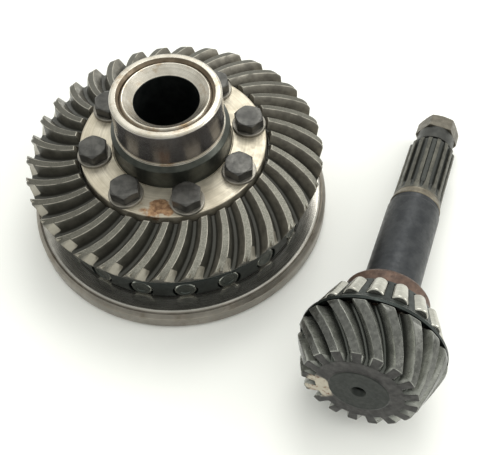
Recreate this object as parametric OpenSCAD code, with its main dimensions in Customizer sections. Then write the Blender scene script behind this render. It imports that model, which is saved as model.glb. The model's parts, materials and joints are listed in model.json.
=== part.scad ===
// Spiral bevel gear pair: a crown wheel bolted to its flanged hub, standing on
// its large roller thrust bearing, and the pinion shaft with its own tapered
// roller bearing, lying beside it on the same surface. Millimetres, +Z up,
// origin at the centre of the thrust bearing's bottom face.

/* [Crown wheel] */
// Number of teeth on the crown wheel
crown_teeth = 34; // [30:1:38]
// Radius of the crown wheel over its teeth at the outer end
crown_r = 102; // [98:0.5:104]
// Radius of the crown wheel at the inner end of the teeth
crown_toe_r = 66.4; // [65.5:0.1:69]
// Height of the tooth tips at the outer end
crown_heel_z = 58.3; // [56:0.1:60]
// Height of the tooth tips at the inner end
crown_toe_z = 69.3; // [68:0.1:71]
// Depth of the teeth at the outer end
crown_depth = 9.6; // [8:0.1:10.5]

/* [Hub] */
// Radius of the hub's bolted flange
flange_r = 63.1; // [62.5:0.1:63.2]
// Height of the flange's top face
flange_z = 69.2; // [67:0.1:71]
// Thickness of the flange
flange_t = 12; // [10:0.5:13]
// Radius of the bore through the hub
bore_r = 21; // [15:0.5:23]
// Number of flange bolts
bolt_count = 8; // [6:1:10]
// Radius of the flange bolts' circle
bolt_circle_r = 52.8; // [52:0.1:53.5]

/* [Hub bearing ring] */
// Bore radius of the plain inner ring
ring_bore_r = 30; // [29:0.5:31]
// Raceway radius of the plain inner ring
ring_r = 36; // [35:0.5:36.3]
// Width of the plain inner ring
ring_w = 26; // [22:0.5:28]

/* [Thrust bearing] */
// Outer radius of the housing washer
washer_r = 105.5; // [104:0.5:108]
// Thickness of the housing washer
washer_t = 14.6; // [12:0.2:15]
// Number of rollers in the thrust bearing
thrust_roller_count = 19; // [17:1:20]
// Diameter of a thrust roller at its outer end
thrust_roller_d = 16; // [14:0.2:16.4]

/* [Pinion] */
// Number of teeth on the pinion
pinion_teeth = 17; // [15:1:19]
// Radius over the pinion's teeth at the outer end
pinion_r = 46.3; // [45:0.1:47]
// Radius over the pinion's teeth at the inner end
pinion_toe_r = 34.9; // [34:0.1:36]
// Depth of the pinion's teeth at the outer end
pinion_depth = 9.2; // [8:0.1:10]
// Radius of the pinion's plain shaft
shaft_r = 18; // [17:0.1:18.5]
// Number of splines on the pinion's tail
spline_count = 16; // [12:1:20]
// Number of rollers in the pinion's bearing
pinion_roller_count = 16; // [14:1:16]

/* [Hidden] */
$fn = 96;
// a cut runs this far past the face it opens
over = 0.5;

// flange bolts: thread, head across flats and height, washer
bolt_r = 6;
bolt_af = 18;
bolt_head_h = 7.6;
bolt_len = 30;
bolt_turn = 11;
bolt_washer_r = 11.4;
bolt_washer_t = 2.2;

// crown wheel: half widths of a tooth space, spiral angles at toe and heel,
// turn of the first tooth space, and the wheel below its teeth
crown_space = [0.12, 0.265, 0.40];
crown_spiral = [14, 38];
crown_phase = 7.5;
crown_web_z = flange_z - flange_t;
crown_back_z = 36.5;
crown_boss_z = 28;
crown_boss_r = 70;
hub_spigot_r = 38;

// hub above the flange
hub_r = 39.5;
lip_r = 36.4;
ring_z = 88.8;
journal_z = ring_z + ring_w - 1.2;

// thrust bearing: the rollers are cones whose apex is on the axis at the
// height of the flat raceway, so they roll on it without sliding
clear = 0.05;
roller_tip_x = 89.8;
roller_len = 17.5;
roller_cone = atan(thrust_roller_d / 2 / roller_tip_x);
washer_bore_r = 68;
shaft_washer_r = 85;
cage_in_r = 70.5;
cage_out_r = 90.6;
cage_low_z = washer_t + 1.6;
cage_high_z = 33.4;
thrust_pitch = 360 / thrust_roller_count;
thrust_turn = -87;

// pinion: its axis, from the toe face towards the tail nut
pinion_toe = [106.7, -177.9, 50.5];
pinion_azimuth = 68.15;
pinion_droop = 8.35;
pinion_toe_s = 1.8;
pinion_heel_s = 30.9;
pinion_face_r = 17.6;
pinion_space = [0.09, 0.19, 0.30];
pinion_spiral = [22, 38];
pinion_phase = 11.1;

// pinion bearing, along the pinion's axis
cone_s = 36.4;
cone_w = 37.2;
cone_rib_r = 27.6;
pin_roller_turn = 13.4;
seat_r = 20;
pin_roller_s = 41.5;
pin_roller_len = 16;
pin_roller_big = 5.6;
pin_roller_small = 4.67;
pin_roller_tilt = 19.5;
pin_roller_path = 36;
pinion_pitch = 360 / pinion_roller_count;

// pinion tail
shaft_end_s = 147.8;
spline_start_s = 160.8;
spline_end_s = 213;
spline_r = 16.7;
thread_r = 12;
collar_s = 216;
collar_w = 12;
nut_w = 13;
nut_af = 27;

// ---- bevel teeth -----------------------------------------------------------

// point at share t of the way from a to b
function along(a, b, t) = a + (b - a) * t;

// turn of the tooth line at share t of the face, for its rates at both ends
function spiral(t, toe_rate, heel_rate) = toe_rate * t + (heel_rate - toe_rate) * t * t / 2;

// turn per face width, in degrees, of a tooth at a spiral angle and a radius
function spiral_rate(angle, face, r) = tan(angle) * face / r * 180 / PI;

// One tooth space as a closed solid. toe and heel are the tip line's ends as
// [radius, height], down is the unit vector from the tips to the root, depth
// holds the depth at both ends, width is the space's half width as a share of
// the pitch at the root, half way up and just above the tip, teeth is the
// count, and rates the spiral's rates. Each section has six points: root,
// flank and above the tip, on both sides.
module tooth_space(toe, heel, down, depth, width, teeth, rates) {
    steps = 8;
    run = 0.05;
    level = [1, 0.5, -0.12];
    side = [-1, 1];
    ts = [for (i = [0:steps]) -run + (1 + 2 * run) * i / steps];
    points = [for (t = ts)
        let (tip = along(toe, heel, t), d = along(depth[0], depth[1], t),
             turn = spiral(t, rates[0], rates[1]))
        for (k = [0:5])
            let (j = k < 3 ? k : 5 - k, p = tip + down * d * level[j],
                 a = turn + side[k < 3 ? 1 : 0] * width[j] * 360 / teeth)
            [p[0] * cos(a), p[0] * sin(a), p[1]]];
    walls = [for (i = [0:steps - 1], k = [0:5])
        let (a = 6 * i + k, b = 6 * i + (k + 1) % 6)
        each [[a, b, a + 6], [b, b + 6, a + 6]]];
    last = 6 * steps;
    caps = [[5, 1, 0], [5, 4, 1], [4, 2, 1], [4, 3, 2],
            [last, last + 1, last + 5], [last + 1, last + 4, last + 5],
            [last + 1, last + 2, last + 4], [last + 2, last + 3, last + 4]];
    // the faces turn the other way where the heel lies below the toe
    faces = [for (f = concat(walls, caps)) heel[1] > toe[1] ? f : [f[2], f[1], f[0]]];
    polyhedron(points, faces, convexity = 4);
}

// The tooth spaces of a whole gear, the first one turned by phase
module tooth_spaces(toe, heel, down, depth, width, teeth, rates, phase) {
    for (i = [0:teeth - 1])
        rotate([0, 0, phase + i * 360 / teeth])
            tooth_space(toe, heel, down, depth, width, teeth, rates);
}

// ---- crown wheel and hub ---------------------------------------------------

module crown_wheel() {
    toe = [crown_toe_r, crown_toe_z];
    heel = [crown_r, crown_heel_z];
    face = norm(heel - toe);
    down = [heel[1] - toe[1], toe[0] - heel[0]] / face;
    toe_depth = crown_depth * crown_toe_r / crown_r;
    toe_root = toe + down * (toe_depth + 1);
    heel_root = heel + down * (crown_depth + 0.6);
    rates = [-spiral_rate(crown_spiral[0], face, crown_toe_r),
             -spiral_rate(crown_spiral[1], face, crown_r)];
    color("#5d5c57") difference() {
        rotate_extrude() polygon([
            [hub_spigot_r, crown_boss_z], [crown_boss_r, crown_boss_z], [crown_boss_r, crown_back_z],
            [88, crown_back_z], [91, crown_back_z + 2], heel_root - [1.6, 2.6], heel_root,
            heel + down * 1.1, heel + [-1.1, 0.34], toe, toe_root,
            [flange_r + 0.8, toe_root[1] - 1], [flange_r + 0.8, crown_web_z],
            [hub_spigot_r, crown_web_z]]);
        tooth_spaces(toe, heel, down, [toe_depth, crown_depth], crown_space, crown_teeth, rates,
                     crown_phase);
        for (i = [0:bolt_count - 1]) rotate([0, 0, bolt_turn + i * 360 / bolt_count])
            translate([bolt_circle_r, 0, crown_boss_z - over])
                cylinder(r = bolt_r, h = crown_web_z - crown_boss_z + 2 * over);
    }
}

module crown_hub() {
    color("#cfc6b4") difference() {
        rotate_extrude() polygon([
            [bore_r + 1, 4], [31, 4], [32, 5], [32, 26], [hub_spigot_r - 1, 26],
            [hub_spigot_r, 27], [hub_spigot_r, crown_web_z], [flange_r, crown_web_z],
            [flange_r, flange_z - 0.8], [flange_r - 0.8, flange_z], [hub_r + 0.8, flange_z],
            [hub_r, flange_z + 0.8], [hub_r, ring_z - 4.5], [lip_r, ring_z - 1.2], [lip_r, ring_z],
            [ring_bore_r, ring_z], [ring_bore_r, journal_z - 1.4], [ring_bore_r - 1.4, journal_z],
            [bore_r + 6.5, journal_z], [bore_r, journal_z - 5.2], [bore_r, 5]]);
        for (i = [0:bolt_count - 1]) rotate([0, 0, bolt_turn + i * 360 / bolt_count])
            translate([bolt_circle_r, 0, crown_web_z - over])
                cylinder(r = bolt_r + 0.5, h = flange_t + 2 * over);
    }
}

module hub_bearing_inner_ring() {
    top = ring_z + ring_w;
    color("#6f6a70") rotate_extrude() polygon([
        [ring_bore_r, ring_z + 1.2], [ring_bore_r + 1.2, ring_z], [ring_r - 0.8, ring_z],
        [ring_r, ring_z + 0.8], [ring_r, top - 1], [ring_r - 1, top], [ring_bore_r + 1.2, top],
        [ring_bore_r, top - 1.2]]);
}

// A hexagon head or nut, its corners broken by a cone at the top
module hexagon(across_flats, height) {
    intersection() {
        cylinder(d = across_flats / cos(30), h = height, $fn = 6);
        rotate_extrude() polygon([
            [0, 0], [across_flats, 0], [across_flats, height - 0.3 * across_flats],
            [across_flats / 2 * 0.96, height], [0, height]]);
    }
}

module flange_bolts() {
    head_z = flange_z + bolt_washer_t;
    color("#5a5560") for (i = [0:bolt_count - 1]) rotate([0, 0, bolt_turn + i * 360 / bolt_count])
        translate([bolt_circle_r, 0, 0]) {
            translate([0, 0, head_z]) rotate([0, 0, 13 * i]) hexagon(bolt_af, bolt_head_h);
            translate([0, 0, head_z - bolt_len]) cylinder(r = bolt_r, h = bolt_len + 1);
        }
}

module flange_washers() {
    color("#8c8678") for (i = [0:bolt_count - 1]) rotate([0, 0, bolt_turn + i * 360 / bolt_count])
        translate([bolt_circle_r, 0, flange_z]) difference() {
            cylinder(r = bolt_washer_r, h = bolt_washer_t);
            translate([0, 0, -over]) cylinder(r = bolt_r + 0.3, h = bolt_washer_t + 2 * over);
        }
}

// ---- thrust bearing --------------------------------------------------------

module thrust_housing_washer() {
    color("#a8a294") rotate_extrude() polygon([
        [washer_bore_r, 1], [washer_bore_r + 1, 0], [washer_r - 2, 0], [washer_r, 2],
        [washer_r, washer_t - 3.6], [washer_r - 2.6, washer_t - 0.6], [washer_r - 3.2, washer_t - 1.5],
        [washer_r - 4, washer_t - 0.6], [washer_r - 5.2, washer_t], [washer_bore_r + 1, washer_t],
        [washer_bore_r, washer_t - 1]]);
}

module thrust_shaft_washer() {
    slope = tan(2 * roller_cone);
    low = washer_t + 2 * clear;
    color("#8f8a7e") rotate_extrude() polygon([
        [crown_boss_r, low + crown_boss_r * slope], [shaft_washer_r, low + shaft_washer_r * slope],
        [shaft_washer_r, crown_back_z - 1], [shaft_washer_r - 1, crown_back_z],
        [crown_boss_r, crown_back_z]]);
}

// Puts something that lies along +Z at the place and slant of one thrust roller
module at_thrust_roller(i) {
    rotate([0, 0, thrust_turn + (i - 1) * thrust_pitch]) translate([0, 0, washer_t + clear])
        rotate([0, 90 - roller_cone, 0]) children();
}

module thrust_roller(i) {
    end_z = roller_tip_x / cos(roller_cone);
    start_z = end_z - roller_len;
    color("#4c504d") at_thrust_roller(i) rotate_extrude() polygon([
        [0, start_z], [start_z * tan(roller_cone) - 0.8, start_z],
        [(start_z + 0.8) * tan(roller_cone), start_z + 0.8],
        [(end_z - 1.2) * tan(roller_cone), end_z - 1.2],
        [end_z * tan(roller_cone) - 1.2, end_z], [0, end_z]]);
}

module thrust_cage() {
    shelf_z = washer_t + (shaft_washer_r + 1) * tan(2 * roller_cone) - 2.6;
    color("#33403c") difference() {
        rotate_extrude() polygon([
            [cage_in_r, cage_low_z], [cage_out_r - 1, cage_low_z], [cage_out_r, cage_low_z + 1],
            [cage_out_r, cage_high_z - 1], [cage_out_r - 1, cage_high_z],
            [shaft_washer_r + 1, cage_high_z], [shaft_washer_r + 1, shelf_z],
            [cage_in_r, shelf_z - 2.8]]);
        for (i = [1:thrust_roller_count]) at_thrust_roller(i)
            translate([0, 0, cage_in_r - 8])
                cylinder(r = thrust_roller_d / 2 + 0.4, h = cage_out_r - cage_in_r + 16);
    }
}

// ---- pinion ----------------------------------------------------------------

// Puts something that lies along +Z on the pinion's axis, its toe face at 0
module on_pinion() {
    translate(pinion_toe) rotate([0, 90 + pinion_droop, pinion_azimuth]) children();
}

module pinion() {
    toe = [pinion_toe_r, pinion_toe_s];
    heel = [pinion_r, pinion_heel_s];
    face = norm(heel - toe);
    down = [toe[1] - heel[1], heel[0] - toe[0]] / face;
    toe_depth = pinion_depth * 0.8;
    heel_root = heel + down * (pinion_depth + 0.4);
    rates = [-spiral_rate(pinion_spiral[0], face, pinion_toe_r - 4),
             -spiral_rate(pinion_spiral[1], face, pinion_r - 4)];
    color("#56554f") on_pinion() difference() {
        rotate_extrude() polygon([
            [0, 0], [pinion_face_r, 0], [pinion_face_r + 0.8, 0.5], [pinion_toe_r - 1.2, 0.9], toe,
            heel + [-0.37, -0.93], heel + down * 1, heel_root, [seat_r + 6, cone_s - 0.4],
            [seat_r + 6, cone_s], [seat_r, cone_s], [seat_r, cone_s + cone_w + 0.6],
            [shaft_r, cone_s + cone_w + 2.6], [shaft_r, shaft_end_s],
            [shaft_r - 1, shaft_end_s + 0.8], [shaft_r - 1, shaft_end_s + 4],
            [shaft_r - 0.6, shaft_end_s + 4.6], [spline_r, spline_start_s - 4],
            [spline_r, spline_end_s - 1.5], [spline_r - 1.5, spline_end_s],
            [thread_r, spline_end_s], [thread_r, collar_s + collar_w + nut_w - 1.5],
            [0, collar_s + collar_w + nut_w - 1.5]]);
        tooth_spaces(toe, heel, down, [toe_depth, pinion_depth], pinion_space, pinion_teeth, rates,
                     pinion_phase);
        translate([0, 0, -over]) cylinder(r = 2.6, h = 9);
        translate([0, 0, -over]) cylinder(r1 = 4.6 + over / 2, r2 = 2.6, h = 3.6);
        for (i = [0:spline_count - 1]) rotate([0, 0, i * 360 / spline_count]) spline_groove();
    }
}

// One groove between two splines, with its pointed run-out at the shaft's end
module spline_groove() {
    half = 1.5;
    floor_r = spline_r - 2.2;
    rise = 7;
    translate([0, half, 0]) rotate([90, 0, 0]) linear_extrude(2 * half) polygon([
        [spline_r + 1, spline_start_s - rise / 2], [floor_r, spline_start_s + rise],
        [floor_r, spline_end_s + over], [spline_r + 1, spline_end_s + over]]);
}

// Puts something that lies along +Z at the place and slant of one pinion roller
module at_pinion_roller(i) {
    on_pinion() rotate([0, 0, pin_roller_turn + (i - 1) * pinion_pitch])
        translate([pin_roller_path, 0, pin_roller_s]) rotate([0, -pin_roller_tilt, 0]) children();
}

module pinion_roller(i) {
    color("#c9c6bc") at_pinion_roller(i) rotate_extrude() polygon([
        [0, 0], [pin_roller_big - 0.8, 0], [pin_roller_big, 0.8],
        [pin_roller_small, pin_roller_len - 0.6], [pin_roller_small - 0.6, pin_roller_len],
        [0, pin_roller_len]]);
}

// Radius, from the pinion's axis, of the rollers' inner line at the height s
function roller_inner_r(s) =
    let (narrow = atan((pin_roller_big - pin_roller_small) / (pin_roller_len - 1.4)),
         start = pin_roller_big / cos(narrow))
    pin_roller_path - start / cos(pin_roller_tilt - narrow)
        - (s - pin_roller_s) * tan(pin_roller_tilt - narrow) - clear;

module pinion_bearing_cone() {
    big = cone_s + 3.4;
    small = pin_roller_s + pin_roller_len * cos(pin_roller_tilt) + 1.4;
    top = cone_s + cone_w;
    color("#7a5a48") on_pinion() rotate_extrude() polygon([
        [seat_r, cone_s], [roller_inner_r(big) + 2.2, cone_s], [roller_inner_r(big) + 2.6, cone_s + 1],
        [roller_inner_r(big) + 2.2, big - 0.6], [roller_inner_r(big), big],
        [roller_inner_r(small), small], [cone_rib_r, small + 1.4], [cone_rib_r - 0.3, top - 3.4],
        [cone_rib_r - 3, top], [seat_r, top]]);
}

module pinion_bearing_cage() {
    end_s = pin_roller_s + pin_roller_len * cos(pin_roller_tilt) + 2.6;
    color("#3b4643") on_pinion() difference() {
        rotate_extrude() polygon([
            [39.8, 34.6], [44.9, 32.4], [44.9, 34.4], [43.2, 36.2], [40.6, 36.9],
            [31.6, end_s], [29.9, end_s], [37.9, 36.6]]);
        for (i = [0:pinion_roller_count - 1]) rotate([0, 0, pin_roller_turn + i * pinion_pitch])
            translate([pin_roller_path, 0, pin_roller_s]) rotate([0, -pin_roller_tilt, 0])
                translate([0, 0, -0.6])
                    cylinder(r1 = pin_roller_big + 0.3, r2 = pin_roller_small + 0.3, h = pin_roller_len + 1.2);
    }
}

module pinion_collar() {
    color("#3d3f3b") on_pinion() translate([0, 0, collar_s]) difference() {
        cylinder(r = 13.6, h = collar_w);
        translate([0, 0, -over]) cylinder(r = thread_r, h = collar_w + 2 * over);
    }
}

module pinion_nut() {
    color("#6e685a") on_pinion() translate([0, 0, collar_s + collar_w]) difference() {
        rotate([0, 0, 4]) hexagon(nut_af, nut_w);
        translate([0, 0, -over]) cylinder(r = thread_r, h = nut_w + 2 * over);
    }
}

thrust_housing_washer();
thrust_cage();
thrust_shaft_washer();
crown_wheel();
crown_hub();
hub_bearing_inner_ring();
flange_bolts();
flange_washers();
pinion();
pinion_bearing_cone();
pinion_bearing_cage();
pinion_collar();
pinion_nut();
for (i = [1:thrust_roller_count])
    thrust_roller(i);
for (i = [1:pinion_roller_count])
    pinion_roller(i);
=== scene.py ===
"""The looks of a spiral bevel gear pair: a finer mesh and its own steel for every piece.

Lengths are millimetres until an object is made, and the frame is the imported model's.
"""

import json
import math

import bmesh
import bpy
import numpy as np
from mathutils import Matrix, Vector

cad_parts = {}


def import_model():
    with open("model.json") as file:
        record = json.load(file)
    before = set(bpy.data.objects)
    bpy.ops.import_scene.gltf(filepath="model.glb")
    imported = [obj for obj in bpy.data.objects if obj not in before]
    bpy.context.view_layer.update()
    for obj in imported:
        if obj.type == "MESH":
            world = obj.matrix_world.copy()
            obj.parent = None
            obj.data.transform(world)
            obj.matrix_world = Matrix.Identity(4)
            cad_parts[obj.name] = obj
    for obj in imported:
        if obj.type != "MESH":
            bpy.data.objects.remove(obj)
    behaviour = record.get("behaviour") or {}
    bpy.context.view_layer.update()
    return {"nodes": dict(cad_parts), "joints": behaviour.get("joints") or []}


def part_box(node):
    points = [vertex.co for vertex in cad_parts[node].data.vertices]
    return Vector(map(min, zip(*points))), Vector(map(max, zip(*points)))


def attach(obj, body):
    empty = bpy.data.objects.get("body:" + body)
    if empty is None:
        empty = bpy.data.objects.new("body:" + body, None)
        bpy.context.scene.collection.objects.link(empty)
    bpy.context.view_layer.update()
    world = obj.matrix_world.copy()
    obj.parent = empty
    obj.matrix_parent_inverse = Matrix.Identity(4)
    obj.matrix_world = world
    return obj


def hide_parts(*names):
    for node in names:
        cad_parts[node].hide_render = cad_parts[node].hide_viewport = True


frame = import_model()

MM = 0.001


def span(node):
    """Lowest and highest corner of a CAD node, in millimetres."""
    low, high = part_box(node)
    return np.array(low) / MM, np.array(high) / MM


# ---- sizes -----------------------------------------------------------------

_, washer_high = span("thrust_housing_washer")
crown_low, crown_high = span("crown_wheel")
_, hub_high = span("crown_hub")
ring_low, ring_high = span("hub_bearing_inner_ring")
WASHER_R = washer_high[0]
WASHER_T = washer_high[2]
CROWN_TEETH = 34
CROWN_SPIRAL = (14, 38)
CROWN_PHASE = 7.5
CROWN_SPACE = 0.366
CROWN_FACET = (0.17, 0.62)
CROWN_TOE = (66.4, crown_high[2])
CROWN_HEEL = (102.0, 58.3)
CROWN_DEPTH = 9.6
FLANGE_R = 63.1
FLANGE_Z = 69.2
FLANGE_T = 12.0
WEB_Z = FLANGE_Z - FLANGE_T
BOSS_R = 70.0
BOSS_Z = crown_low[2]
BACK_Z = 36.5
SPIGOT_R = 38.0
HUB_R = 39.5
LIP_R = 36.4
BORE_R = 21.0
RING_BORE_R = 30.0
RING_R = ring_high[0]
RING_Z = ring_low[2]
RING_TOP = ring_high[2]
JOURNAL_Z = hub_high[2]
BOLTS = 8
BOLT_TURN = 11.0
BOLT_CIRCLE_R = 52.8
BOLT_AF = 18.0
HEAD_H = 7.6
BOLT_WASHER_R = 11.4
BOLT_WASHER_T = 2.2
BOLT_STEP_TURN = 13

THRUST_ROLLERS = 19
THRUST_TURN = -87.0
ROLLER_TIP_X = 89.8
ROLLER_R = 8.0
ROLLER_LEN = 17.5
ROLLER_CONE = math.degrees(math.atan(ROLLER_R / ROLLER_TIP_X))
CLEAR = 0.05
SHAFT_WASHER_R = 85.0

PINION_TEETH = 17
PINION_SPIRAL = (22, 38)
PINION_PHASE = 11.1
PINION_SPACE = 0.315
NO_FACET = (0.0, 0.0)
PINION_TOE = (34.9, 1.8)
PINION_HEEL = (46.3, 30.9)
PINION_DEPTH = 9.2
PINION_FACE_R = 17.6
SEAT_R = 20.0
SHAFT_R = 18.0
CONE_S = 36.4
CONE_W = 37.2
SHAFT_END_S = 147.8
SPLINES = 16
SPLINE_R = 16.7
SPLINE_DEPTH = 2.2
SPLINE_HALF_GROOVE = 1.85
SPLINE_START_S = 160.8
SPLINE_END_S = 213.0
THREAD_R = 12.0
COLLAR_S = 216.0
COLLAR_R = 13.6
COLLAR_W = 12.0
NUT_AF = 27.0
NUT_W = 13.0
NUT_TURN = 4
PIN_ROLLERS = 16
PIN_ROLLER_TURN = 13.4
PIN_ROLLER_PATH = 36.0
PIN_ROLLER_S = 41.5
PIN_ROLLER_TILT = 19.5
PIN_ROLLER_LEN = 16.0
PIN_ROLLER_BIG = 5.6
PIN_ROLLER_SMALL = 4.67
PINION_TOE_POINT = (106.7, -177.9, 50.5)


# ---- places ----------------------------------------------------------------

def turn_z(degrees):
    return Matrix.Rotation(math.radians(degrees), 4, "Z")


def turn_y(degrees):
    return Matrix.Rotation(math.radians(degrees), 4, "Y")


def shift(x, y, z):
    """A move by a length in millimetres."""
    return Matrix.Translation(Vector((x, y, z)) * MM)


def pinion_place():
    """The pinion's own frame: +Z along its axis from its toe face to its nut, +X downwards."""
    axis = next(Vector(j["axis"]) for j in frame["joints"] if j["name"] == "pinion_spin")
    z = axis.normalized()
    y = Vector((0, 0, 1)).cross(z).normalized()
    x = y.cross(z)
    return shift(*PINION_TOE_POINT) @ Matrix((x, y, z)).transposed().to_4x4()


PINION = pinion_place()


# ---- mesh helpers ----------------------------------------------------------

def along(a, b, t):
    return a + (b - a) * t


def rounded(outline, radius, steps=3):
    """A closed outline with every corner off the axis turned into a short arc.
    A point's third number is its own radius."""
    points = [np.array(p[:2], float) for p in outline]
    radii = [p[2] if len(p) > 2 else radius for p in outline]
    out = []
    for i, p in enumerate(points):
        before, after = points[i - 1], points[(i + 1) % len(points)]
        if p[0] < 1e-6 or radii[i] <= 0:
            out.append(p)
            continue
        cut = min(radii[i], 0.45 * np.linalg.norm(before - p), 0.45 * np.linalg.norm(after - p))
        a = p + (before - p) / np.linalg.norm(before - p) * cut
        b = p + (after - p) / np.linalg.norm(after - p) * cut
        for t in np.linspace(0, 1, steps + 1):
            out.append((1 - t) ** 2 * a + 2 * t * (1 - t) * p + t * t * b)
    return np.array(out)


def revolve(profile, angles):
    """Rows of points (row, point, 3): each [radius, height] of the profile, turned round the axis."""
    profile = np.asarray(profile)
    r, z = profile[:, 0:1], profile[:, 1:2]
    return np.stack([r * np.cos(angles), r * np.sin(angles), z + 0 * angles], axis=2)


def full_turn(points):
    return np.linspace(0, 2 * math.pi, points, endpoint=False)[None, :]


def grid_part(rows, closed=True):
    """Vertices and faces of rows that each run once round the axis.
    closed joins the last row to the first."""
    count, points = rows.shape[:2]
    last = count if closed else count - 1
    i = np.arange(last)[:, None]
    k = np.arange(points)[None, :]
    j = (i + 1) % count
    n = (k + 1) % points
    faces = np.stack([i * points + k, i * points + n, j * points + n, j * points + k], axis=2)
    return rows.reshape(-1, 3), faces.reshape(-1, 4)


def lathe(outline, radius=0.4, points=144, steps=3):
    """A part turned from an outline, with its corners rounded.
    An outline that starts and ends on the axis is solid."""
    profile = rounded(outline, radius, steps)
    solid = outline[0][0] < 1e-6
    return grid_part(revolve(profile, full_turn(points)), closed=not solid)


def joined(parts):
    """Several parts as one list of vertices and one of faces."""
    verts, faces, start = [], [], 0
    for v, f in parts:
        verts.append(v)
        faces.append(f + start)
        start += len(v)
    return np.concatenate(verts), np.concatenate(faces)


def moved(part, matrix):
    """A part in millimetres, placed by a matrix whose move is in metres."""
    verts, faces = part
    turn = np.array(matrix.to_3x3())
    return verts @ turn.T + np.array(matrix.translation) / MM, faces


def keep_own_place(mesh):
    """Keeps each vertex's place in the part's own frame, for the material's grain, stains and painted
    light.
    """
    places = np.empty(len(mesh.vertices) * 3, np.float32)
    mesh.vertices.foreach_get("co", places)
    mesh.attributes.new("own", "FLOAT_VECTOR", "POINT").data.foreach_set("vector", places)


def make(name, part, body, materials, replaces=(), place=None, paint=None, marks=None,
         sharp=38.0):
    """One piece: its mesh, its steel, the CAD body it rides on and the CAD nodes it stands for.
    paint(r, z) picks the material of a face from its middle. marks are values at the vertices,
    which the material reads."""
    verts, faces = part
    mesh = bpy.data.meshes.new(name)
    mesh.from_pydata((verts * MM).tolist(), [], faces.tolist())
    for key, values in (marks or {}).items():
        layer = mesh.attributes.new(key, "FLOAT", "POINT")
        layer.data.foreach_set("value", np.asarray(values, np.float32).ravel())
    bm = bmesh.new()
    bm.from_mesh(mesh)
    bmesh.ops.remove_doubles(bm, verts=bm.verts, dist=1e-6)
    bmesh.ops.dissolve_degenerate(bm, edges=bm.edges, dist=1e-7)
    bmesh.ops.recalc_face_normals(bm, faces=bm.faces)
    limit = math.radians(sharp)
    for face in bm.faces:
        face.smooth = True
        if paint:
            middle = face.calc_center_median() / MM
            face.material_index = paint(math.hypot(middle.x, middle.y), middle.z)
    for edge in bm.edges:
        edge.smooth = not (edge.is_manifold and edge.calc_face_angle(0) > limit)
    bm.to_mesh(mesh)
    bm.free()
    keep_own_place(mesh)
    if place is not None:
        mesh.transform(place)
    for material in materials:
        mesh.materials.append(material)
    piece = bpy.data.objects.new(name, mesh)
    bpy.context.scene.collection.objects.link(piece)
    weighted = piece.modifiers.new("flat faces stay flat", "WEIGHTED_NORMAL")
    weighted.keep_sharp = True
    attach(piece, body)
    if replaces:
        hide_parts(*replaces)
    return piece


def bevelled_copy(name, node, width, body, material):
    """A copy of a CAD node with its edges broken."""
    mesh = frame["nodes"][node].data.copy()
    bm = bmesh.new()
    bm.from_mesh(mesh)
    bmesh.ops.remove_doubles(bm, verts=bm.verts, dist=2e-6)
    bmesh.ops.dissolve_limit(bm, angle_limit=math.radians(1.0), verts=bm.verts, edges=bm.edges)
    for face in bm.faces:
        face.smooth = True
    for edge in bm.edges:
        edge.smooth = not (edge.is_manifold and edge.calc_face_angle(0) > math.radians(35))
    bm.to_mesh(mesh)
    bm.free()
    keep_own_place(mesh)
    mesh.name = name
    mesh.materials.clear()
    mesh.materials.append(material)
    piece = bpy.data.objects.new(name, mesh)
    bpy.context.scene.collection.objects.link(piece)
    bevel = piece.modifiers.new("broken edges", "BEVEL")
    bevel.width = width * MM
    bevel.segments = 2
    bevel.limit_method = "ANGLE"
    bevel.angle_limit = math.radians(35)
    bevel.harden_normals = True
    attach(piece, body)
    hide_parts(node)
    return piece


# ---- gear teeth ------------------------------------------------------------

CREST_START = 0.88
CREST_DROP = 0.16


def tooth_profile(edge):
    """One pitch across a tooth space, from the middle of one land to the next: the share of the
    pitch, the depth (0 at the tip, 1 at the root) and how worn the spot is.
    edge is the space's half width at the tip."""
    flank = [
        (0.00, 1.000, 0), (0.12, 1.000, 0), (0.22, 0.985, 0), (0.29, 0.945, 0), (0.35, 0.880, 0),
        (0.41, 0.790, 0), (0.47, 0.680, 0), (0.55, 0.555, 0), (0.63, 0.425, 0), (0.72, 0.300, 0),
        (0.80, 0.185, 0), (0.89, 0.085, 0), (0.935, 0.040, 0), (0.96, 0.020, 1), (1.00, 0.000, 1),
    ]
    half = [(edge * u, g, w) for u, g, w in flank]
    half += [(edge + 0.014, 0, 0), ((edge + 0.5) / 2, 0, 0), (0.485, 0, 0)]
    left = [(-u, g, w) for u, g, w in reversed(half[1:])]
    return np.array(left + half)


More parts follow.
